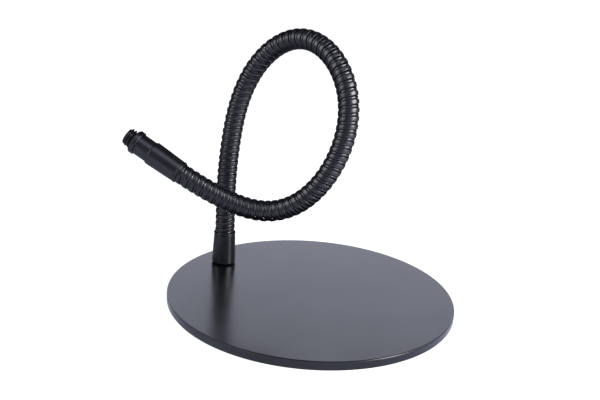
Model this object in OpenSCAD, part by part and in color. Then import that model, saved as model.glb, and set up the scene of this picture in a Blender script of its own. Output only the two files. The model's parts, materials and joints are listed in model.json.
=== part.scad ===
// Desktop mic stand: round steel base, self-holding gooseneck arm, threaded stud at its tip.
// Millimetres. +X right, +Y to the back, +Z up; origin at the centre of the pad's underside.

/* [Base] */
// Diameter of the round steel plate
base_d = 150; // [150:1:180]
// Thickness of the plate
base_t = 4; // [3:0.5:6]
// Bevel round the plate's top edge
base_bevel = 0.4; // [0.2:0.1:0.8]
// Diameter of the rubber pad under the plate
pad_d = 149; // [140:1:149]
// Thickness of the pad
pad_t = 0.6; // [0.5:0.1:2]
// Distance from the plate's centre to the arm
arm_offset = 59.4; // [50:0.1:61]
// Direction of the arm from the plate's centre, counted anticlockwise from +X
arm_azimuth = 146.4; // [0:0.1:360]

/* [Lower ferrule] */
// Height of the tapered ferrule that stands on the plate
ferrule_h = 17; // [17:0.5:24]
// Diameter of the ferrule's foot
ferrule_foot_d = 13.1; // [12.4:0.1:14]
// Diameter of the ferrule's top
ferrule_top_d = 11.6; // [11.5:0.1:12]
// Chamfer round the ferrule's foot
ferrule_chamfer = 1.1; // [0.3:0.1:1.1]

/* [Trim rings] */
// Outside diameter of the ring at each end of the arm
ring_d = 11.8; // [11.6:0.1:12.4]
// Height of each ring
ring_h = 1.2; // [1:0.1:2]

/* [Arm] */
// Length of arm in view between the two trim rings
arm_len = 300; // [280:5:320]
// Outside diameter of the wound arm
arm_d = 10.7; // [10:0.1:10.7]
// Spacing of the turns where the arm is straight
closed_pitch = 3.6; // [3.5:0.1:4]
// Part of the outer stretch of a bend that the arm's middle takes up
stretch_share = 0.62; // [0.5:0.01:0.8]
// Bend to the right at equal stations along the arm, in degrees per centimetre
bend_right = [-2, 2, 2, 7, 10, 15, 14, 9, 4, 9, 3, -1, 10]; // [-4:1:16]
// Bend to the front at the same stations, in degrees per centimetre
bend_front = [-2, -3, 1, 5, 7, 14, 8, 10, 8, 9, 20, 6, -4]; // [-4:1:21]

/* [Wires] */
// Width of the outer wire's visible face
band_w = 2.3; // [1.8:0.05:2.3]
// Depth of the outer wire's triangular section
band_depth = 1.5; // [1.2:0.1:1.6]
// Diameter of the round inner wire
round_wire_d = 2.2; // [1.6:0.1:2.2]
// Depth of the inner wire's back below the outer wire's face
round_wire_inset = 0.35; // [0.3:0.05:0.5]
// Length of wound arm hidden inside each ferrule
buried_len = 8; // [6:0.5:8]

/* [Tip] */
// Length of the tapered sleeve
sleeve_len = 16.9; // [16:0.1:22]
// Diameter of the sleeve where it meets the trim ring
sleeve_small_d = 11.5; // [11.5:0.1:12]
// Diameter of the sleeve's wide end
sleeve_wide_d = 12.4; // [12.2:0.1:13]
// Diameter of the plug that stands out of the sleeve
plug_d = 11.2; // [10.9:0.1:11.2]
// Length of the plug in view
plug_len = 7.6; // [7.5:0.1:10]
// Diameter of the collar behind the thread
collar_d = 12.5; // [11.5:0.1:13]
// Length of the collar
collar_len = 3.4; // [3:0.1:5]
// Outside diameter of the thread, 3/8 inch or M8
stud_d = 9.525; // [8, 9.525]
// Length of thread in view
stud_len = 4.2; // [3:0.1:12]

/* [Fasteners] */
// Diameter of the screw that holds the arm to the plate
screw_d = 5; // [4, 5]
// Diameter of the countersunk screw head
screw_head_d = 9.2; // [8:0.1:9.4]
// Length of the screw
screw_len = 10; // [8:1:10]
// Diameter of the two set screws
set_screw_d = 3; // [2.5, 3]

/* [Hidden] */
$fn = 96;
gap = 0.05; // radial running gap between parts that slide together
arm_r = arm_d / 2;
bore_d = arm_d + 0.1; // bore of the ferrule, the sleeve and both rings
insert_d = bore_d - 2 * gap; // metal inserts that fill those bores
spigot_d = 4.4; // pin of each insert inside the winding
insert_gap = band_w / 2 + 0.2; // from the middle of the wire's last turn to the insert
plate_top = pad_t + base_t;
arm_foot = plate_top + ferrule_h + ring_h; // height at which the arm comes into view
foot_xy = arm_offset * [cos(arm_azimuth), sin(arm_azimuth)];
washer_t = 0.6;
tail_d = 6; // threaded tail of the stud inside the plug
tail_len = 6.8;

turn_steps = 12; // straight pieces of wire in one turn
step_angle = 360 / turn_steps;
half_turn = turn_steps / 2;
joint_count = 20;
joint_spacing = arm_len / joint_count;

steel = [0.36, 0.37, 0.41];
black = [0.12, 0.12, 0.13];
dark_wire = [0.22, 0.22, 0.24];
bright_wire = [0.45, 0.46, 0.49];
zinc = [0.68, 0.69, 0.71];
rubber = [0.08, 0.08, 0.08];

// ---- Line of the arm ----
// A place on the arm is [distance from the lower ring, point, direction, side], the last two unit vectors.

function turned(v, axis, angle) =
    v * cos(angle) + cross(axis, v) * sin(angle) + axis * (axis * v) * (1 - cos(angle));

function bend_at(rates, s) =
    s < 0 || s > arm_len
        ? 0
        : lookup(s, [for (i = [0 : len(rates) - 1]) [i * arm_len / (len(rates) - 1), rates[i]]]) / 10;

function bend_rate(s) = norm([bend_at(bend_right, s), bend_at(bend_front, s)]);

function bend_axis(place, s) =
    let (
        right = bend_at(bend_right, s),
        front = bend_at(bend_front, s),
        size = norm([right, front])
    )
    size == 0 ? place[3] : (right * cross(place[2], place[3]) + front * place[3]) / size;

function moved(place, distance) =
    let (
        middle = place[0] + distance / 2,
        axis = bend_axis(place, middle),
        angle = bend_rate(middle) * distance
    )
    [
        place[0] + distance,
        place[1] + turned(place[2], axis, angle / 2) * distance,
        turned(place[2], axis, angle),
        turned(place[3], axis, angle)
    ];

// A bend opens the winding on its outer side, so the turns sit further apart along the middle as well.
function wire_step(place) =
    closed_pitch / turn_steps * (1 + stretch_share * bend_rate(place[0]) * PI / 180 * arm_r);

foot_place = [-buried_len, [foot_xy[0], foot_xy[1], arm_foot - buried_len], [0, 0, 1], [1, 0, 0]];
places = [
    for (place = foot_place; place[0] < arm_len + buried_len; place = moved(place, wire_step(place))) place
];

function steps_before(s) = len([for (place = places) if (place[0] < s) 1]);

last_in_view = places[steps_before(arm_len) - 1];
tip_place = moved(last_in_view, arm_len - last_in_view[0]);

// Joint k sits where the wires of segments k - 1 and k part.
joint_steps = [for (k = [1 : joint_count]) steps_before((k - 0.5) * joint_spacing)];
segment_start = concat([0], joint_steps);
segment_end = concat([for (i = joint_steps) i - 1], [len(places) - 1]);

// ---- Wires ----

// Point of a wire's section: along the arm and outwards from its middle, at an angle round it
function section_point(place, angle, along, out) =
    place[1] + place[2] * along
        + (place[3] * cos(angle) + cross(place[2], place[3]) * sin(angle)) * out;

function wire_ring(step, lag, section) =
    [for (p = section) section_point(places[step], step * step_angle + lag, p[0], p[1])];

band_section = [[-band_w / 2, arm_r], [0, arm_r - band_depth], [band_w / 2, arm_r]];
round_wire_sides = 6;
round_wire_out = arm_r - round_wire_inset - round_wire_d / 2;
round_wire_section = [
    for (i = [0 : round_wire_sides - 1])
        let (angle = i * 360 / round_wire_sides)
        [cos(angle) * round_wire_d / 2, round_wire_out + sin(angle) * round_wire_d / 2]
];

// Wire whose section passes through each ring of points in turn
module wire(rings) {
    sides = len(rings[0]);
    last = len(rings) - 1;
    walls = [
        for (i = [0 : last - 1], j = [0 : sides - 1])
            let (a = i * sides + j, b = i * sides + (j + 1) % sides)
            each [[a, a + sides, b + sides], [a, b + sides, b]]
    ];
    foot_cap = [for (j = [0 : sides - 1]) j];
    head_cap = [for (j = [sides - 1 : -1 : 0]) last * sides + j];
    polyhedron([for (ring = rings) each ring], concat([foot_cap], walls, [head_cap]));
}

// Triangular wire whose wide face is the outside of the arm
module outer_wire(segment) {
    color(dark_wire)
        wire([for (i = [segment_start[segment] : segment_end[segment]]) wire_ring(i, 0, band_section)]);
}

// Round spring wire, half a turn from the outer one, so that its back shows between the bands
module inner_wire(segment) {
    first = segment_start[segment] + (segment == 0 ? 0 : half_turn);
    last = segment_end[segment] - (segment == joint_count ? 0 : half_turn);
    color(bright_wire)
        wire([for (i = [first : last]) wire_ring(i, 180, round_wire_section)]);
}

// ---- Placing ----

// Stands its children on the plate, on the arm's axis
module at_foot() {
    translate([foot_xy[0], foot_xy[1], 0])
        children();
}

// Puts its children on the arm's end, with +Z out towards the tip
module at_tip() {
    out = tip_place[2];
    side = tip_place[3];
    up = cross(out, side);
    base = tip_place[1];
    multmatrix([
        [side[0], up[0], out[0], base[0]],
        [side[1], up[1], out[1], base[1]],
        [side[2], up[2], out[2], base[2]]
    ])
        children();
}

// Lays its children on their side, pointing away from the axis at a height and an angle
module across(height, angle) {
    translate([0, 0, height])
        rotate([0, 0, angle])
            rotate([0, 90, 0])
                children();
}

// ---- Base ----

module base_plate() {
    color(steel)
        difference() {
            translate([0, 0, pad_t])
                rotate_extrude($fn = 180)
                    polygon([
                        [0, 0],
                        [base_d / 2, 0],
                        [base_d / 2, base_t - base_bevel],
                        [base_d / 2 - base_bevel, base_t],
                        [0, base_t]
                    ]);
            at_foot() {
                translate([0, 0, pad_t - 1])
                    cylinder(d = screw_d + 0.5, h = base_t + 2);
                screw_head(gap + 0.1);
            }
        }
}

module base_pad() {
    color(rubber)
        difference() {
            cylinder(d = pad_d, h = pad_t, $fn = 180);
            at_foot()
                translate([0, 0, -1])
                    cylinder(d = screw_head_d + 3, h = pad_t + 2);
        }
}

// Countersunk head, flush with the plate's underside; room widens it for the hole it sits in
module screw_head(room = 0) {
    rim = 0.3;
    cone_h = (screw_head_d - screw_d) / 2;
    translate([0, 0, pad_t])
        rotate_extrude()
            polygon([
                [0, -room],
                [screw_head_d / 2 + room, -room],
                [screw_head_d / 2 + room, rim],
                [screw_d / 2 + room, rim + cone_h],
                [0, rim + cone_h]
            ]);
}

module base_screw() {
    socket_w = 3;
    color(zinc)
        at_foot()
            difference() {
                union() {
                    screw_head();
                    translate([0, 0, pad_t + 0.2])
                        cylinder(d = screw_d, h = screw_len - 0.2);
                }
                translate([0, 0, pad_t - 1])
                    cylinder(d = socket_w / cos(30), h = 2.8, $fn = 6);
            }
}

module lock_washer() {
    teeth = 12;
    washer_d = 8;
    tooth_len = 0.7;
    color(zinc)
        at_foot()
            translate([0, 0, plate_top])
                linear_extrude(washer_t)
                    difference() {
                        union() {
                            circle(d = washer_d);
                            for (i = [0 : teeth - 1])
                                rotate(i * 360 / teeth)
                                    translate([washer_d / 2 - 0.5, -0.5])
                                        square([tooth_len + 0.5, 1]);
                        }
                        circle(d = screw_d + 0.3);
                    }
}

// ---- Lower end of the arm ----

lower_plug_foot = plate_top + washer_t;
lower_plug_shoulder = arm_foot - buried_len - insert_gap;
set_screw_rise = plate_top + 5.5;
set_screw_azimuth = 90;

module lower_plug() {
    color(zinc)
        at_foot()
            difference() {
                union() {
                    translate([0, 0, lower_plug_foot])
                        cylinder(d = insert_d, h = lower_plug_shoulder - lower_plug_foot);
                    cylinder_between(spigot_d, lower_plug_shoulder - 0.5, arm_foot - 1);
                }
                translate([0, 0, lower_plug_foot - 1])
                    cylinder(d = screw_d + 2 * gap, h = screw_len - base_t - washer_t + 2);
                across(set_screw_rise, set_screw_azimuth)
                    cylinder_between(set_screw_d + 2 * gap, set_screw_in, bore_d);
            }
}

module cylinder_between(d, low, high) {
    translate([0, 0, low])
        cylinder(d = d, h = high - low);
}

module lower_ferrule() {
    color(black)
        at_foot()
            difference() {
                translate([0, 0, plate_top])
                    rotate_extrude()
                        polygon([
                            [0, 0],
                            [ferrule_foot_d / 2 - ferrule_chamfer * 0.7, 0],
                            [ferrule_foot_d / 2, ferrule_chamfer],
                            [ferrule_top_d / 2, ferrule_h],
                            [0, ferrule_h]
                        ]);
                cylinder_between(bore_d, plate_top - 1, arm_foot);
                across(set_screw_rise, set_screw_azimuth)
                    cylinder_between(set_screw_d + 2 * gap, 1, ferrule_foot_d);
            }
}

// Ring with a rounded outside, between the arm and a ferrule
module trim_ring() {
    round_r = 0.35;
    rotate_extrude()
        difference() {
            union() {
                translate([0, round_r])
                    square([ring_d / 2, ring_h - 2 * round_r]);
                square([ring_d / 2 - round_r, ring_h]);
                for (y = [round_r, ring_h - round_r])
                    translate([ring_d / 2 - round_r, y])
                        circle(r = round_r, $fn = 32);
            }
            translate([-1, -1])
                square([bore_d / 2 + 1, ring_h + 2]);
        }
}

module lower_trim_ring() {
    color(black)
        at_foot()
            translate([0, 0, arm_foot - ring_h])
                trim_ring();
}

// Cup-point set screw: from its inner to its outer distance from the axis it crosses
set_screw_in = 3.1;
set_screw_len = 2.6;

module set_screw() {
    socket_w = 1.5;
    difference() {
        translate([0, 0, set_screw_in])
            rotate_extrude($fn = 48)
                polygon([
                    [0, 0],
                    [set_screw_d / 2 - 0.5, 0],
                    [set_screw_d / 2, 0.5],
                    [set_screw_d / 2, set_screw_len],
                    [0, set_screw_len]
                ]);
        translate([0, 0, set_screw_in + set_screw_len - 1.2])
            cylinder(d = socket_w / cos(30), h = 2, $fn = 6);
    }
}

module lower_set_screw() {
    color(black)
        at_foot()
            across(set_screw_rise, set_screw_azimuth)
                set_screw();
}

// ---- Tip of the arm, all on one axis ----

sleeve_foot = ring_h;
sleeve_head = sleeve_foot + sleeve_len;
plug_shoulder = buried_len + insert_gap;
plug_head = sleeve_head + plug_len;
collar_head = plug_head + collar_len;
tip_set_screw_rise = sleeve_foot + 12.5;
tip_set_screw_azimuth = 20;

module upper_trim_ring() {
    color(black)
        at_tip()
            trim_ring();
}

module upper_sleeve() {
    straight = 2;
    corner = 0.5;
    color(black)
        at_tip()
            difference() {
                translate([0, 0, sleeve_foot])
                    rotate_extrude()
                        polygon([
                            [0, 0],
                            [sleeve_small_d / 2, 0],
                            [sleeve_wide_d / 2, sleeve_len - straight],
                            [sleeve_wide_d / 2, sleeve_len - corner],
                            [sleeve_wide_d / 2 - corner, sleeve_len],
                            [0, sleeve_len]
                        ]);
                cylinder_between(bore_d, sleeve_foot - 1, sleeve_head + 1);
                across(tip_set_screw_rise, tip_set_screw_azimuth)
                    cylinder_between(set_screw_d + 2 * gap, 1, sleeve_wide_d);
            }
}

module upper_plug() {
    color(black)
        at_tip()
            difference() {
                union() {
                    cylinder_between(spigot_d, 1, plug_shoulder + 0.5);
                    cylinder_between(insert_d, plug_shoulder, sleeve_head + 0.5);
                    cylinder_between(plug_d, sleeve_head, plug_head);
                }
                cylinder_between(tail_d + 2 * gap, plug_head - tail_len - 0.4, plug_head + 1);
                across(tip_set_screw_rise, tip_set_screw_azimuth)
                    cylinder_between(set_screw_d + 2 * gap, set_screw_in, bore_d);
            }
}

module upper_set_screw() {
    color(black)
        at_tip()
            across(tip_set_screw_rise, tip_set_screw_azimuth)
                set_screw();
}

// Chamfered collar and stud turned from one bar; the thread is drawn at its outside diameter
module threaded_stud() {
    back_chamfer = 0.4;
    front_chamfer = 0.9;
    stud_chamfer = 0.6;
    color(black)
        at_tip() {
            translate([0, 0, plug_head])
                rotate_extrude()
                    polygon([
                        [0, -tail_len],
                        [tail_d / 2, -tail_len],
                        [tail_d / 2, 0],
                        [collar_d / 2 - back_chamfer, 0],
                        [collar_d / 2, back_chamfer],
                        [collar_d / 2, collar_len - front_chamfer],
                        [collar_d / 2 - front_chamfer, collar_len],
                        [stud_d / 2, collar_len],
                        [stud_d / 2, collar_len + stud_len - stud_chamfer],
                        [stud_d / 2 - stud_chamfer, collar_len + stud_len],
                        [0, collar_len + stud_len]
                    ]);
        }
}

// ---- Names ----

function two_digits(k) = str(k < 10 ? "0" : "", k);
function outer_name(k) = str("outer_wire_", two_digits(k));
function inner_name(k) = str("inner_wire_", two_digits(k));

base_plate();
base_pad();
base_screw();
lock_washer();
lower_plug();
lower_ferrule();
lower_trim_ring();
lower_set_screw();
upper_trim_ring();
upper_sleeve();
upper_plug();
upper_set_screw();
threaded_stud();
for (k = [0 : joint_count]) {
    outer_wire(k);
    inner_wire(k);
}
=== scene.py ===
"""Looks of the desktop mic stand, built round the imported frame.

Lengths are in millimetres. Blender works in metres, so MM turns them into metres.
"""

import json
import math

import bmesh
import bpy
import numpy as np
from mathutils import Matrix, Vector


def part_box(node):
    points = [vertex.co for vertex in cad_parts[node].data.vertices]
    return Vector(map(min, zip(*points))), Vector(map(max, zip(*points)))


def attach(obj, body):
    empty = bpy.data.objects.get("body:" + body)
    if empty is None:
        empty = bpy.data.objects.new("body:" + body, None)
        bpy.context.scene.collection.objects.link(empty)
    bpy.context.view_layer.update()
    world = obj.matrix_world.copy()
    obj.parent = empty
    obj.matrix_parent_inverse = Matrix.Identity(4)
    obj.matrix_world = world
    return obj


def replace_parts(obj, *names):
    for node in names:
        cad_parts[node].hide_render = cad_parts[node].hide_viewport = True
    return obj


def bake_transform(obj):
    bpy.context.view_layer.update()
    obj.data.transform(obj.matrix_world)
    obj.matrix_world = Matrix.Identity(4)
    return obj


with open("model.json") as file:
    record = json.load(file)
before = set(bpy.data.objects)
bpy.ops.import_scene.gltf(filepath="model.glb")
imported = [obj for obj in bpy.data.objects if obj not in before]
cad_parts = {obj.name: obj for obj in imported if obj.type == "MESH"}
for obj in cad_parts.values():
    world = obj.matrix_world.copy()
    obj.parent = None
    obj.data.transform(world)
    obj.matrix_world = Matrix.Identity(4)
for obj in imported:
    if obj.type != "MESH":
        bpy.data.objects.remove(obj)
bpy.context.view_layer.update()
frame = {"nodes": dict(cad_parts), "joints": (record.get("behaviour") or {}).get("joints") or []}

MM = 0.001

# ---- Roundings of this model's own; the CAD has a 0.4 bevel on the plate and a square pad ----

BASE_EDGE = 0.8
BASE_FOOT_EDGE = 0.25
PAD_EDGE = 0.15

# ---- Sizes, as in the CAD source where no comment says otherwise ----

SCREW_HOLE_D = 5.5
SCREW_HEAD_D = 9.5
SCREW_HEAD_RIM = 0.3
PAD_HOLE_D = 12.2

FERRULE_FOOT_D = 13.1
FERRULE_TOP_D = 11.6
FERRULE_CHAMFER = 1.1
RING_D = 11.8
RING_H = 1.2

ARM_LEN = 300.0
ARM_D = 10.7
ARM_R = ARM_D / 2
CLOSED_PITCH = 3.6
STRETCH_SHARE = 0.62
BURIED_LEN = 8.0
INSERT_GAP = 1.35
SPIGOT_D = 4.4
BORE_D = ARM_D + 0.1
SEGMENT_LEN = 15.0
# Straight pieces of wire in one turn; the CAD has 12
TURN_STEPS = 60
# Bend at equal stations along the arm, in degrees per centimetre; a fitting program chose these numbers
BEND_RIGHT = [-2, 2, 2, 7, 10, 15, 14, 9, 4, 9, 3, -1, 10]
BEND_FRONT = [-2, -3, 1, 5, 7, 14, 8, 10, 8, 9, 20, 6, -4]

SLEEVE_LEN = 16.9
SLEEVE_SMALL_D = 11.5
SLEEVE_WIDE_D = 12.4
PLUG_D = 11.2
PLUG_LEN = 7.6
COLLAR_D = 12.5
COLLAR_LEN = 3.4
STUD_D = 9.525
STUD_LEN = 4.2
# The CAD's stud is plain, and only this model has its thread
THREAD_PITCH = 1.5875
TAIL_D = 6.0
TAIL_LEN = 6.8
SET_SCREW_D = 3.1
SET_SCREW_RISE = 5.5
TIP_SET_SCREW_RISE = 12.5
TIP_SET_SCREW_ANGLE = 20.0

# ---- Places taken from the frame ----

plate_low, plate_high = (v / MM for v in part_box("base_plate"))
_, pad_high = (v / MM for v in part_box("base_pad"))
ferrule_low, ferrule_high = (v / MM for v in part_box("lower_ferrule"))
ring_low, ring_high = (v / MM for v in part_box("lower_trim_ring"))
plate_top = plate_high.z
foot = (ferrule_low + ferrule_high) / 2
arm_foot = Vector((foot.x, foot.y, ring_high.z))


# ---- The arm's middle line ----


def turned(v, axis, angle):
    """v turned about a unit axis by an angle in radians."""
    sine, cosine = math.sin(angle), math.cos(angle)
    return v * cosine + np.cross(axis, v) * sine + axis * (axis @ v) * (1 - cosine)


def bend_at(rates, s):
    """Bend rate in radians per millimetre at a distance s along the arm."""
    if s < 0 or s > ARM_LEN:
        return 0.0
    stations = np.linspace(0, ARM_LEN, len(rates))
    return math.radians(float(np.interp(s, stations, rates)) / 10)


def moved(place, distance):
    """The place that lies a distance further along the arm. A place is (s, point, direction, side)."""
    s, point, direction, side = place
    right, front = (bend_at(rates, s + distance / 2) for rates in (BEND_RIGHT, BEND_FRONT))
    rate = math.hypot(right, front)
    if rate == 0:
        return (s + distance, point + direction * distance, direction, side)
    axis = (right * np.cross(direction, side) + front * side) / rate
    angle = rate * distance
    half_way = turned(direction, axis, angle / 2)
    direction, side = turned(direction, axis, angle), turned(side, axis, angle)
    return (s + distance, point + half_way * distance, direction, side)


def wire_step(s):
    """Distance along the arm that one step of wire climbs: more in a bend, which opens the winding."""
    rate = math.hypot(bend_at(BEND_RIGHT, s), bend_at(BEND_FRONT, s))
    return CLOSED_PITCH / TURN_STEPS * (1 + STRETCH_SHARE * rate * ARM_R)


def arm_places():
    """Every place along the winding, one for each step of wire."""
    start = np.array(arm_foot) - np.array((0, 0, BURIED_LEN))
    place = (-BURIED_LEN, start, np.array((0.0, 0.0, 1.0)), np.array((1.0, 0.0, 0.0)))
    made = []
    while place[0] < ARM_LEN + BURIED_LEN:
        made.append(place)
        place = moved(place, wire_step(place[0]))
    return made


places = arm_places()
distances = np.array([p[0] for p in places])


def place_at(s):
    """The place at an exact distance along the arm."""
    before = places[int(np.searchsorted(distances, s)) - 1]
    return moved(before, s - before[0])


tip_place = place_at(ARM_LEN)


def frame_matrix(point, direction, side):
    """Matrix whose +Z runs along direction and whose +X runs along side, in metres."""
    columns = (Vector(side), Vector(np.cross(direction, side)), Vector(direction))
    rotation = Matrix([[column[row] for column in columns] for row in range(3)]).to_4x4()
    return Matrix.Translation(Vector(point) * MM) @ rotation


AT_CENTRE = Matrix.Identity(4)
AT_FOOT = Matrix.Translation(Vector((foot.x, foot.y, 0)) * MM)
AT_TIP = frame_matrix(*tip_place[1:])

# ---- Mesh helpers ----


def new_object(name, vertices, faces, material, matrix=AT_CENTRE):
    """A smooth-shaded mesh object. Vertices are in millimetres, in the space of matrix."""
    mesh = bpy.data.meshes.new(name)
    mesh.from_pydata([tuple(float(c) * MM for c in v) for v in vertices], [], faces)
    mesh.transform(matrix)
    mesh.validate()
    mesh.materials.append(material)
    mesh.shade_smooth()
    obj = bpy.data.objects.new(name, mesh)
    bpy.context.scene.collection.objects.link(obj)
    return obj


def rounded(corners, arc_steps=6):
    """An outline with each corner (r, z, radius) rounded by an arc, as a list of (r, z)."""
    outline = []
    count = len(corners)
    for i, (x, y, radius) in enumerate(corners):
        here = Vector((x, y))
        if radius == 0:
            outline.append(here)
            continue
        back = (Vector(corners[i - 1][:2]) - here).normalized()
        ahead = (Vector(corners[(i + 1) % count][:2]) - here).normalized()
        half_angle = back.angle(ahead) / 2
        reach = radius / math.tan(half_angle)
        centre = here + (back + ahead).normalized() * (radius / math.sin(half_angle))
        first = here + back * reach - centre
        last = here + ahead * reach - centre
        sweep = first.angle_signed(last)
        for k in range(arc_steps + 1):
            angle = -sweep * k / arc_steps
            outline.append(centre + Matrix.Rotation(angle, 2) @ first)
    return [(p.x, p.y) for p in outline]


def lathe(name, outline, material, matrix=AT_CENTRE, turns=128, closed=False):
    """Outline of (r, z) points spun about the axis.

    A closed outline makes a ring; an open one starts and ends on the axis.
    """
    vertices, rings = [], []
    for r, z in outline:
        count = 1 if r < 1e-6 else turns
        rings.append(range(len(vertices), len(vertices) + count))
        for k in range(count):
            angle = 2 * math.pi * k / turns
            vertices.append((r * math.cos(angle), r * math.sin(angle), z))
    pairs = list(zip(rings, rings[1:]))
    if closed:
        pairs.append((rings[-1], rings[0]))
    faces = []
    for low, high in pairs:
        for k in range(turns):
            after = k + 1
            corners = (low[k % len(low)], low[after % len(low)], high[after % len(high)], high[k % len(high)])
            face = list(dict.fromkeys(corners))
            if len(face) > 2:
                faces.append(face)
    obj = new_object(name, vertices, faces, material, matrix)
    face_outwards(obj)
    return obj


def face_outwards(obj):
    """Turns every face of a closed mesh to point outwards."""
    bm = bmesh.new()
    bm.from_mesh(obj.data)
    bmesh.ops.recalc_face_normals(bm, faces=bm.faces)
    bm.to_mesh(obj.data)
    bm.free()


def crisp(obj, angle=35):
    """Keeps flat and round faces clean next to their rounded edges."""
    obj.data.set_sharp_from_angle(angle=math.radians(angle))
    modifier = obj.modifiers.new("clean_shading", "WEIGHTED_NORMAL")
    modifier.keep_sharp = True
    modifier.weight = 100
    return obj


def drill(obj, diameter, low, high, matrix):
    """Cuts a round hole along the +Z of matrix, from low to high in millimetres."""
    radius = diameter / 2
    outline = [(0, low), (radius, low), (radius, high), (0, high)]
    cut(obj, lathe("cutter", outline, obj.data.materials[0], matrix, 64))


def cut(obj, cutter):
    """Takes the cutter's space out of obj, and removes the cutter."""
    modifier = obj.modifiers.new("cut", "BOOLEAN")
    modifier.operation = "DIFFERENCE"
    modifier.solver = "EXACT"
    modifier.object = cutter
    bpy.context.view_layer.update()
    evaluated = obj.evaluated_get(bpy.context.evaluated_depsgraph_get())
    mesh = bpy.data.meshes.new_from_object(evaluated)
    obj.modifiers.clear()
    obj.data = mesh
    bpy.data.objects.remove(cutter)


def across(height, angle):
    """Matrix that lays +Z on its side at a height, pointing away from the axis at an angle in degrees."""
    return (
        Matrix.Translation((0, 0, height * MM))
        @ Matrix.Rotation(math.radians(angle), 4, "Z")
        @ Matrix.Rotation(math.radians(90), 4, "Y")
    )


AT_TIP_SET_SCREW = AT_TIP @ across(RING_H + TIP_SET_SCREW_RISE, TIP_SET_SCREW_ANGLE)

# ---- Light and camera ----

TENT_FRONT = 0.3
TENT_BACK = 0.07
# Painted glow of the floor as reflections see it, standing in for light bounced off the floor; stronger on
# the right side
FLOOR_GLOW = 1.0
FLOOR_GLOW_RIGHT = 2.6
# Brightness and width of each card, by its azimuth
CARD = {180: (1.33, 1900), 90: (0.8, 2300), 270: (0.8, 2300), 0: (0.7, 2300)}
CARD_TINT = (0.95, 0.985, 1.19)
TENT_TINT = (0.89, 0.96, 1.24)
BOX_TINT = (0.985, 0.99, 1.04)
CARD_ELEVATION = 25
CARD_DISTANCE = 950
CARD_HEIGHT = 1000
LIT_POINT = Vector((0, 0, 80))
# Softboxes: azimuth, elevation, distance, width, height, watts
RIGHT_BOX = (67, 27, 900, 640, 560, 19)
LEFT_BOX = (-70, 27, 900, 640, 560, 5)
TOP_BOX = (10, 65, 900, 600, 500, 1.5)
RIM_BOX = (67, 27, 900, 300, 560, 8)
CAMERA_PLACE = Vector((-9.14, -433.58, 200.44))
CAMERA_PITCH = 18.54
CAMERA_ROLL = 4.06
CAMERA_LENS = 54.0
CAMERA_SENSOR = 36.0

# ---- Materials ----


class Nodes:
    """Shorthand for building one material's nodes."""

    def __init__(self, name):
        self.material = bpy.data.materials.new(name)
        self.material.use_nodes = True
        self.tree = self.material.node_tree
        self.shader = self.tree.nodes["Principled BSDF"]
        self.place = self.add("ShaderNodeTexCoord").outputs["Object"]

    def add(self, kind, **values):
        """A node, with each named input set. A value that is a socket is linked."""
        node = self.tree.nodes.new(kind)
        for key, value in values.items():
            self.set(node, key.replace("_", " "), value)
        return node

    def set(self, node, key, value):
        """Sets or links one input of a node."""
        socket = node.inputs[int(key)] if key.isdigit() else node.inputs[key]
        if isinstance(value, bpy.types.NodeSocket):
            self.tree.links.new(value, socket)
        else:
            socket.default_value = value

    def noise(self, scale_per_m, detail=4.0, roughness=0.6, stretch=None):
        """Noise between 0 and 1 with a given number of features per metre."""
        where = self.place
        if stretch:
            where = self.add("ShaderNodeVectorMath", **{"0": self.place, "1": stretch})
            where.operation = "MULTIPLY"
            where = where.outputs[0]
        values = {"Vector": where, "Scale": scale_per_m, "Detail": detail, "Roughness": roughness}
        return self.add("ShaderNodeTexNoise", **values).outputs["Fac"]

    def remap(self, value, low, high, to_low, to_high):
        """Value stretched from one range to another, held at its ends."""
        node = self.add("ShaderNodeMapRange", Value=value)
        for key, number in (("From Min", low), ("From Max", high), ("To Min", to_low), ("To Max", to_high)):
            node.inputs[key].default_value = number
        return node.outputs["Result"]

    def mix(self, factor, first, second):
        """Colour between two, by a factor."""
        node = self.tree.nodes.new("ShaderNodeMix")
        node.data_type = "RGBA"
        self.set(node, "0", factor)
        self.set(node, "6", first)
        self.set(node, "7", second)
        return node.outputs[2]

    def bump(self, height, depth_mm, strength=1.0):
        """Surface relief of a given depth."""
        node = self.add("ShaderNodeBump", Height=height, Strength=strength, Distance=depth_mm * MM)
        self.tree.links.new(node.outputs["Normal"], self.shader.inputs["Normal"])

    def edge_wear(self, sharp=0.55):
        """1 along worn outer edges, 0 elsewhere, broken up by noise."""
        pointiness = self.add("ShaderNodeNewGeometry").outputs["Pointiness"]
        edge = self.remap(pointiness, sharp, sharp + 0.08, 0.0, 1.0)
        patches = self.remap(self.noise(400, 6), 0.45, 0.7, 0.0, 1.0)
        both = self.add("ShaderNodeMath", **{"0": edge, "1": patches})
        both.operation = "MULTIPLY"
        return both.outputs[0]

    def finish(self, colour, roughness, metallic=0.0, specular=0.5):
        """Links the main inputs of the shader and returns the material."""
        self.set(self.shader, "Base Color", colour)
        self.set(self.shader, "Roughness", roughness)
        self.set(self.shader, "Metallic", metallic)
        self.set(self.shader, "Specular IOR Level", specular)
        return self.material


def plate_paint():
    """Satin black powder coat on the plate, with faint mottling and dust."""
    n = Nodes("plate_paint")
    cloud = n.noise(28, 6)
    dust = n.remap(n.noise(700, 3, 0.7), 0.7, 0.76, 0.0, 0.25)
    colour = n.mix(cloud, (0.0014, 0.0015, 0.0022, 1), (0.0026, 0.0028, 0.0038, 1))
    colour = n.mix(dust, colour, (0.06, 0.06, 0.065, 1))
    roughness = n.remap(cloud, 0.3, 0.7, 0.205, 0.245)
    n.bump(n.noise(1500, 3, 0.5), 0.0015)
    return n.finish(colour, roughness, specular=n.remap(cloud, 0.3, 0.7, 0.44, 0.56))


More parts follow.
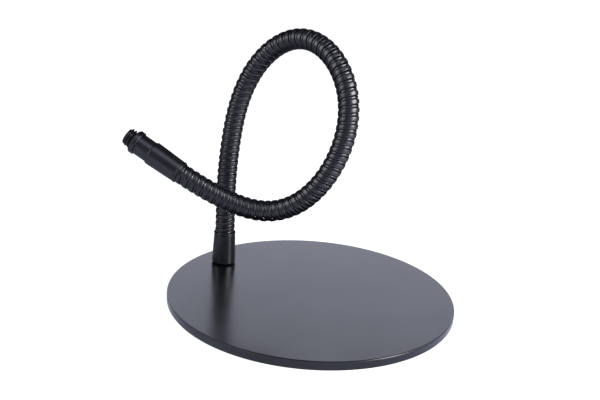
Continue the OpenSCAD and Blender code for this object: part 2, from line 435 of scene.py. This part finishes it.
def ferrule_paint():
    """Satin black lacquer on the turned parts, worn a little along the edges."""
    n = Nodes("ferrule_paint")
    cloud = n.noise(220, 5)
    worn = n.edge_wear()
    colour = n.mix(cloud, (0.0008, 0.0009, 0.0012, 1), (0.0018, 0.0019, 0.0024, 1))
    colour = n.mix(worn, colour, (0.012, 0.012, 0.013, 1))
    roughness = n.remap(cloud, 0.3, 0.7, 0.27, 0.32)
    n.bump(n.noise(2600, 3, 0.5), 0.001)
    return n.finish(colour, roughness)


def band_steel():
    """Blackened drawn steel of the outer wire."""
    n = Nodes("band_steel")
    cloud = n.noise(260, 5)
    colour = n.mix(cloud, (0.0012, 0.0013, 0.0016, 1), (0.0026, 0.0028, 0.0034, 1))
    roughness = n.remap(cloud, 0.3, 0.7, 0.29, 0.36)
    n.bump(n.noise(3200, 3, 0.55), 0.001)
    return n.finish(colour, roughness)


def spring_steel():
    """Oiled dark spring steel of the inner wire."""
    n = Nodes("spring_steel")
    cloud = n.noise(300, 5)
    colour = n.mix(cloud, (0.0015, 0.0016, 0.002, 1), (0.003, 0.0032, 0.0038, 1))
    roughness = n.remap(cloud, 0.3, 0.7, 0.22, 0.28)
    n.bump(n.noise(3600, 2, 0.5), 0.0008)
    return n.finish(colour, roughness)


def zinc_plate():
    """Bright zinc on the hidden plug, screw and washer."""
    n = Nodes("zinc_plate")
    cloud = n.noise(500, 5)
    colour = n.mix(cloud, (0.50, 0.51, 0.53, 1), (0.66, 0.66, 0.66, 1))
    roughness = n.remap(cloud, 0.3, 0.7, 0.25, 0.42)
    n.bump(n.noise(2500, 3), 0.006)
    return n.finish(colour, roughness, metallic=1.0)


def black_oxide():
    """Black oxide on the set screws."""
    n = Nodes("black_oxide")
    cloud = n.noise(900, 4)
    colour = n.mix(cloud, (0.035, 0.035, 0.04, 1), (0.06, 0.06, 0.065, 1))
    roughness = n.remap(cloud, 0.3, 0.7, 0.3, 0.45)
    n.bump(n.noise(4000, 3), 0.004)
    return n.finish(colour, roughness, metallic=1.0)


def pad_rubber():
    """Black rubber sheet of the pad, finely textured and dull."""
    n = Nodes("pad_rubber")
    cells = n.add("ShaderNodeTexVoronoi", Vector=n.place, Scale=1800.0).outputs["Distance"]
    colour = n.mix(n.noise(120, 4), (0.0015, 0.0015, 0.0015, 1), (0.004, 0.004, 0.004, 1))
    n.bump(cells, 0.03)
    return n.finish(colour, 0.85, specular=0.05)


def pale_floor():
    """Matt white sheet with a faint shadow where the stand touches it. To everything but the camera it shows
    a painted glow instead, standing in for light bounced off the floor: brighter on the right, lit side, and
    fading towards the back.
    """
    n = Nodes("pale_floor")
    links = n.tree.links
    grain = n.mix(n.noise(40, 3), (0.18, 0.18, 0.18, 1), (0.2, 0.2, 0.2, 1))
    n.finish(grain, 0.9, specular=0.0)
    glow = n.add("ShaderNodeEmission", Color=(1, 1, 1, 1), Strength=0.97)
    seen = n.tree.nodes.new("ShaderNodeAddShader")
    links.new(n.shader.outputs[0], seen.inputs[0])
    links.new(glow.outputs[0], seen.inputs[1])
    # Painted glow, seen only in reflections and bounces: stronger on the right, where the right softbox
    # lights the floor, and fading towards the back
    place = n.add("ShaderNodeSeparateXYZ", Vector=n.place)
    sideways = n.remap(place.outputs["X"], 0.0, 0.3, FLOOR_GLOW, FLOOR_GLOW_RIGHT)
    depth = n.remap(place.outputs["Y"], -0.1, 0.12, 1.0, 0.12)
    strength = n.add("ShaderNodeMath", **{"0": sideways, "1": depth})
    strength.operation = "MULTIPLY"
    bounced = n.add("ShaderNodeEmission", Color=(*TENT_TINT, 1), Strength=strength.outputs[0])
    from_camera = n.tree.nodes.new("ShaderNodeLightPath").outputs["Is Camera Ray"]
    pick = n.tree.nodes.new("ShaderNodeMixShader")
    links.new(from_camera, pick.inputs[0])
    links.new(bounced.outputs[0], pick.inputs[1])
    links.new(seen.outputs[0], pick.inputs[2])
    links.new(pick.outputs[0], n.tree.nodes["Material Output"].inputs["Surface"])
    return n.material


PLATE = plate_paint()
LACQUER = ferrule_paint()
BAND = band_steel()
SPRING = spring_steel()
ZINC = zinc_plate()
OXIDE = black_oxide()
RUBBER = pad_rubber()

# ---- Base ----


def show_cad(names, material):
    """Keeps these CAD nodes in view with a finished material."""
    for name in names:
        mesh = frame["nodes"][name].data
        mesh.materials.clear()
        mesh.materials.append(material)


def build_plate():
    radius = plate_high.x
    corners = [
        (0, plate_low.z, 0),
        (radius, plate_low.z, BASE_FOOT_EDGE),
        (radius, plate_top, BASE_EDGE),
        (0, plate_top, 0),
    ]
    plate = lathe("plate", rounded(corners, 10), PLATE, turns=256)
    drill(plate, SCREW_HOLE_D, plate_low.z - 1, plate_top + 1, AT_FOOT)
    head = SCREW_HEAD_D / 2
    rim_top = plate_low.z + SCREW_HEAD_RIM
    cone_top = rim_top + head - SCREW_HOLE_D / 2
    countersink = [(0, plate_low.z - 1), (head, plate_low.z - 1), (head, rim_top)]
    countersink += [(SCREW_HOLE_D / 2, cone_top), (0, cone_top)]
    cut(plate, lathe("countersink", countersink, PLATE, AT_FOOT, 96))
    crisp(plate)
    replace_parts(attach(plate, "base"), "base_plate")
    return plate


def build_pad():
    radius = pad_high.x
    corners = [(0, 0, 0), (radius, 0, PAD_EDGE), (radius, pad_high.z, PAD_EDGE), (0, pad_high.z, 0)]
    pad = lathe("rubber_pad", rounded(corners, 4), RUBBER, turns=192)
    drill(pad, PAD_HOLE_D, -1, pad_high.z + 1, AT_FOOT)
    crisp(pad)
    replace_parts(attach(pad, "base"), "base_pad")


# ---- Turned parts at both ends of the arm ----


def build_trim_ring(name, node, body, matrix, low):
    outer, inner = RING_D / 2, BORE_D / 2
    high = low + RING_H
    corners = [(inner, low, 0.1), (outer, low, 0.35), (outer, high, 0.35), (inner, high, 0.1)]
    ring = lathe(name, rounded(corners), LACQUER, matrix, closed=True)
    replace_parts(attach(crisp(ring), body), node)


def build_ferrule():
    foot_r, top_r, bore = FERRULE_FOOT_D / 2, FERRULE_TOP_D / 2, BORE_D / 2
    low, high = ferrule_low.z, ferrule_high.z
    corners = [
        (bore, low, 0.05),
        (foot_r - FERRULE_CHAMFER * 0.7, low, 0.12),
        (foot_r, low + FERRULE_CHAMFER, 0.25),
        (top_r, high, 0.2),
        (bore, high, 0.05),
    ]
    ferrule = lathe("ferrule", rounded(corners), LACQUER, AT_FOOT, closed=True)
    drill(ferrule, SET_SCREW_D, 1, FERRULE_FOOT_D, AT_FOOT @ across(plate_top + SET_SCREW_RISE, 90))
    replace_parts(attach(crisp(ferrule), "base"), "lower_ferrule")


def build_sleeve():
    small, wide, bore = SLEEVE_SMALL_D / 2, SLEEVE_WIDE_D / 2, BORE_D / 2
    low, high = RING_H, RING_H + SLEEVE_LEN
    corners = [
        (bore, low, 0.05),
        (small, low, 0.2),
        (wide, high - 2, 1.5),
        (wide, high, 0.5),
        (bore, high, 0.05),
    ]
    sleeve = lathe("sleeve", rounded(corners), LACQUER, AT_TIP, closed=True)
    drill(sleeve, SET_SCREW_D, 1, SLEEVE_WIDE_D, AT_TIP_SET_SCREW)
    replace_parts(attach(crisp(sleeve), "arm_20"), "upper_sleeve")


def thread_radius(z, angle, z0, z1):
    """Radius of the stud at a height and an angle: a V thread, faded at the collar, chamfered at the end."""
    depth = 0.58 * THREAD_PITCH
    turn = (z / THREAD_PITCH - angle / (2 * math.pi)) % 1.0
    crest, root = 0.16, 0.2
    ramp = min(1.0, max(0.0, (abs(turn - 0.5) * 2 - crest) / (1 - crest - root)))
    fade = min(1.0, max(0.0, (z - z0) / (THREAD_PITCH * 0.35)))
    radius = STUD_D / 2 - depth * ramp * fade
    chamfer = STUD_D / 2 - max(0.0, 0.9 - (z1 - z)) * 0.8
    return min(radius, chamfer)


def build_stud():
    """Collar, tail and a true helical thread, as one turned part."""
    plug_head = RING_H + SLEEVE_LEN + PLUG_LEN
    collar_head = plug_head + COLLAR_LEN
    top = collar_head + STUD_LEN
    body = rounded([
        (0, plug_head - TAIL_LEN, 0),
        (TAIL_D / 2, plug_head - TAIL_LEN, 0.3),
        (TAIL_D / 2, plug_head, 0),
        (COLLAR_D / 2 - 0.4, plug_head, 0.12),
        (COLLAR_D / 2, plug_head + 0.4, 0.2),
        (COLLAR_D / 2, collar_head - 0.9, 0.3),
        (COLLAR_D / 2 - 0.9, collar_head, 0.2),
    ])
    turns, rows = 160, 84
    heights = [collar_head + (top - collar_head) * k / rows for k in range(rows + 1)]
    vertices, rings = [], []

    def ring(radius_at, z):
        rings.append(range(len(vertices), len(vertices) + turns))
        for k in range(turns):
            angle = 2 * math.pi * k / turns
            r = radius_at(angle)
            vertices.append((r * math.cos(angle), r * math.sin(angle), z))

    vertices.append((0, 0, body[0][1]))
    for r, z in body[1:]:
        ring(lambda angle: r, z)
    for z in heights:
        ring(lambda angle: thread_radius(z, angle, collar_head, top), z)
    vertices.append((0, 0, top))
    faces = [(0, rings[0][k], rings[0][(k + 1) % turns]) for k in range(turns)]
    for low, high in zip(rings, rings[1:]):
        faces += [(low[k], low[(k + 1) % turns], high[(k + 1) % turns], high[k]) for k in range(turns)]
    end = len(vertices) - 1
    faces += [(rings[-1][(k + 1) % turns], rings[-1][k], end) for k in range(turns)]
    stud = new_object("threaded_end", vertices, faces, LACQUER, AT_TIP)
    face_outwards(stud)
    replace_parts(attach(crisp(stud, 50), "arm_20"), "threaded_stud")


def build_plug():
    """The part of the plug that stands out of the sleeve, with its hidden shank and spigot."""
    sleeve_head = RING_H + SLEEVE_LEN
    plug_head = sleeve_head + PLUG_LEN
    shoulder = BURIED_LEN + INSERT_GAP
    corners = [
        (0, 1, 0),
        (SPIGOT_D / 2, 1, 0.3),
        (SPIGOT_D / 2, shoulder, 0),
        (BORE_D / 2 - 0.05, shoulder, 0.2),
        (BORE_D / 2 - 0.05, sleeve_head, 0),
        (PLUG_D / 2, sleeve_head, 0.1),
        (PLUG_D / 2, plug_head, 0.15),
        (TAIL_D / 2 + 0.05, plug_head, 0.1),
        (TAIL_D / 2 + 0.05, plug_head - TAIL_LEN - 0.4, 0),
        (0, plug_head - TAIL_LEN - 0.4, 0),
    ]
    plug = lathe("plug", rounded(corners), LACQUER, AT_TIP)
    drill(plug, SET_SCREW_D, 3.1, BORE_D, AT_TIP_SET_SCREW)
    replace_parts(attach(crisp(plug), "arm_20"), "upper_plug")


# ---- The two wires of the arm ----

# Half of the outer wire's section, from its crown to its inner point: (along the arm, out from its middle)
BAND_HALF = [
    (0.0, ARM_R),
    (0.55, ARM_R - 0.01),
    (0.9, ARM_R - 0.035),
    (1.08, ARM_R - 0.09),
    (1.15, ARM_R - 0.2),
    (1.13, ARM_R - 0.36),
    (0.9, ARM_R - 0.65),
    (0.7, ARM_R - 0.9),
    (0.28, ARM_R - 1.45),
]
# The inner wire is 0.2 thicker than in the CAD, to close the gaps between the wires in bends
BAND_SECTION = BAND_HALF + [(-x, r) for x, r in reversed(BAND_HALF[1:])]
SPRING_R = 1.2
SPRING_OUT = ARM_R - 0.3 - SPRING_R
SPRING_SECTION = [
    (SPRING_R * math.sin(2 * math.pi * k / 14), SPRING_OUT + SPRING_R * math.cos(2 * math.pi * k / 14))
    for k in range(14)
]


def swept(name, first, last, lag, section, material):
    """A wire from one step to another, as a closed mesh. Lag is its angle behind the winding's own."""
    count = len(section)
    vertices = []
    for step in range(first, last + 1):
        _, point, direction, side = places[step]
        angle = 2 * math.pi * step / TURN_STEPS + math.radians(lag)
        out = side * math.cos(angle) + np.cross(direction, side) * math.sin(angle)
        vertices += [point + direction * x + out * r for x, r in section]
    rings = last - first
    faces = [
        (i * count + j, (i + 1) * count + j, (i + 1) * count + (j + 1) % count, i * count + (j + 1) % count)
        for i in range(rings)
        for j in range(count)
    ]
    faces.append(tuple(range(count)))
    faces.append(tuple(rings * count + j for j in reversed(range(count))))
    wire = new_object(name, vertices, faces, material)
    face_outwards(wire)
    cap_edges = range(count), range(rings * count, (rings + 1) * count)
    mark_sharp(wire, [set(edge) for edge in cap_edges])
    return wire


def mark_sharp(obj, vertex_sets):
    """Makes the edges inside each set of vertices sharp."""
    for edge in obj.data.edges:
        a, b = edge.vertices
        if any(a in vertices and b in vertices for vertices in vertex_sets):
            edge.use_edge_sharp = True


def body_name(k):
    return "base" if k == 0 else f"arm_{k:02d}"


def build_wires():
    """Each wire in lengths that cross one joint each. Only the foot and tip lengths are tied to a body; the
    lengths between stay where they are made.
    """
    joints = len(frame["joints"])
    seams = [int(np.searchsorted(distances, k * SEGMENT_LEN)) for k in range(joints + 1)]
    kinds = (
        ("outer", 0, BAND_SECTION, BAND, "outer_wire"),
        ("inner", 180, SPRING_SECTION, SPRING, "inner_wire"),
    )
    for kind, lag, section, material, slot in kinds:
        foot_end = swept(f"{kind}_wire_foot", 0, seams[0], lag, section, material)
        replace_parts(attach(foot_end, "base"), f"{slot}_00")
        for k in range(joints):
            piece = swept(f"{kind}_wire_bend_{k + 1:02d}", seams[k], seams[k + 1], lag, section, material)
            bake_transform(piece)
            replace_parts(piece, f"{slot}_{k + 1:02d}")
        tip_end = swept(f"{kind}_wire_tip", seams[-1], len(places) - 1, lag, section, material)
        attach(tip_end, body_name(joints))


plate = build_plate()
build_pad()
build_ferrule()
build_trim_ring("foot_ring", "lower_trim_ring", "base", AT_FOOT, ring_low.z)
build_trim_ring("tip_ring", "upper_trim_ring", "arm_20", AT_TIP, 0)
build_sleeve()
build_plug()
build_stud()
build_wires()
show_cad(["base_screw", "lock_washer", "lower_plug"], ZINC)
show_cad(["lower_set_screw", "upper_set_screw"], OXIDE)

# ---- Floor, light and camera ----


def build_floor():
    size = 6000
    floor = new_object(
        "floor",
        [(-size, -size, -0.02), (size, -size, -0.02), (size, size, -0.02), (-size, size, -0.02)],
        [(0, 1, 2, 3)],
        pale_floor(),
    )


def build_world():
    """White to the camera. To everything else a dim cool tent, darker behind the stand."""
    world = bpy.data.worlds.new("studio")
    bpy.context.scene.world = world
    world.use_nodes = True
    nodes, links = world.node_tree.nodes, world.node_tree.links
    split = nodes.new("ShaderNodeSeparateXYZ")
    links.new(nodes.new("ShaderNodeTexCoord").outputs["Generated"], split.inputs[0])
    behind = nodes.new("ShaderNodeMapRange")
    behind.inputs["From Min"].default_value = -0.3
    behind.inputs["From Max"].default_value = 0.4
    links.new(split.outputs["Y"], behind.inputs["Value"])
    from_camera = nodes.new("ShaderNodeLightPath").outputs["Is Camera Ray"]
    tent, seen = (nodes.new("ShaderNodeMix") for _ in range(2))
    for node, factor in ((tent, behind.outputs["Result"]), (seen, from_camera)):
        node.data_type = "RGBA"
        links.new(factor, node.inputs["Factor"])
    tent.inputs[6].default_value = (*(TENT_FRONT * c for c in TENT_TINT), 1)
    tent.inputs[7].default_value = (*(TENT_BACK * c for c in TENT_TINT), 1)
    links.new(tent.outputs[2], seen.inputs[6])
    seen.inputs[7].default_value = (1, 1, 1, 1)
    links.new(seen.outputs[2], nodes["Background"].inputs["Color"])


def softbox(name, azimuth, elevation, distance_mm, width_mm, height_mm, watts):
    """Square-on soft light, at an azimuth counted from the camera's side towards +X."""
    light = bpy.data.lights.new(name, "AREA")
    light.shape = "RECTANGLE"
    light.size, light.size_y = width_mm * MM, height_mm * MM
    light.energy = watts
    obj = bpy.data.objects.new(name, light)
    bpy.context.scene.collection.objects.link(obj)
    turn, rise = math.radians(azimuth), math.radians(elevation)
    away = Vector((math.sin(turn) * math.cos(rise), -math.cos(turn) * math.cos(rise), math.sin(rise)))
    obj.location = LIT_POINT * MM + away * distance_mm * MM
    obj.rotation_euler = (-away).to_track_quat("-Z", "Y").to_euler()
    obj.visible_camera = False
    return obj


def linked(light, plate, state):
    """Makes a light reach the plate alone (INCLUDE), or everything but the plate (EXCLUDE)."""
    receivers = bpy.data.collections.new(f"{light.name}_receivers")
    receivers.objects.link(plate)
    receivers.collection_objects[0].light_linking.link_state = state
    light.light_linking.receiver_collection = receivers


def build_cards(plate):
    """Large low cards all round that light the plate alone: seen at a low angle, it shows as satin slate."""
    for azimuth, (level, width) in CARD.items():
        watts = level * math.pi * width * CARD_HEIGHT * MM * MM
        size = (width, CARD_HEIGHT)
        card = softbox(f"card_{azimuth:03d}", azimuth, CARD_ELEVATION, CARD_DISTANCE, *size, watts)
        card.data.color = CARD_TINT
        linked(card, plate, "INCLUDE")


def build_camera():
    """The photograph's view: from the front, a little above, the camera rolled slightly."""
    pitch, roll = math.radians(CAMERA_PITCH), math.radians(CAMERA_ROLL)
    camera_data = bpy.data.cameras.new("camera")
    camera_data.lens, camera_data.sensor_width = CAMERA_LENS, CAMERA_SENSOR
    camera_data.clip_start, camera_data.clip_end = 0.01, 50.0
    camera = bpy.data.objects.new("camera", camera_data)
    bpy.context.scene.collection.objects.link(camera)
    forward = Vector((0, math.cos(pitch), -math.sin(pitch)))
    right = Vector((1, 0, 0))
    up = Vector((0, math.sin(pitch), math.cos(pitch)))
    right_rolled = right * math.cos(roll) + up * math.sin(roll)
    up_rolled = up * math.cos(roll) - right * math.sin(roll)
    axes = (right_rolled, up_rolled, -forward)
    rotation = Matrix([[axis[row] for axis in axes] for row in range(3)]).to_4x4()
    camera.matrix_world = Matrix.Translation(CAMERA_PLACE * MM) @ rotation
    bpy.context.scene.camera = camera


build_floor()
build_world()
right_box = softbox("right_softbox", *RIGHT_BOX)
left_box = softbox("left_softbox", *LEFT_BOX)
right_box.data.color = left_box.data.color = BOX_TINT
linked(right_box, plate, "EXCLUDE")
linked(left_box, plate, "EXCLUDE")
rim_box = softbox("rim_softbox", *RIM_BOX)
linked(rim_box, plate, "INCLUDE")
top = softbox("top_softbox", *TOP_BOX)
top.data.color = TENT_TINT
linked(top, plate, "EXCLUDE")
build_cards(plate)
build_camera()
bpy.context.scene.view_settings.view_transform = "Standard"
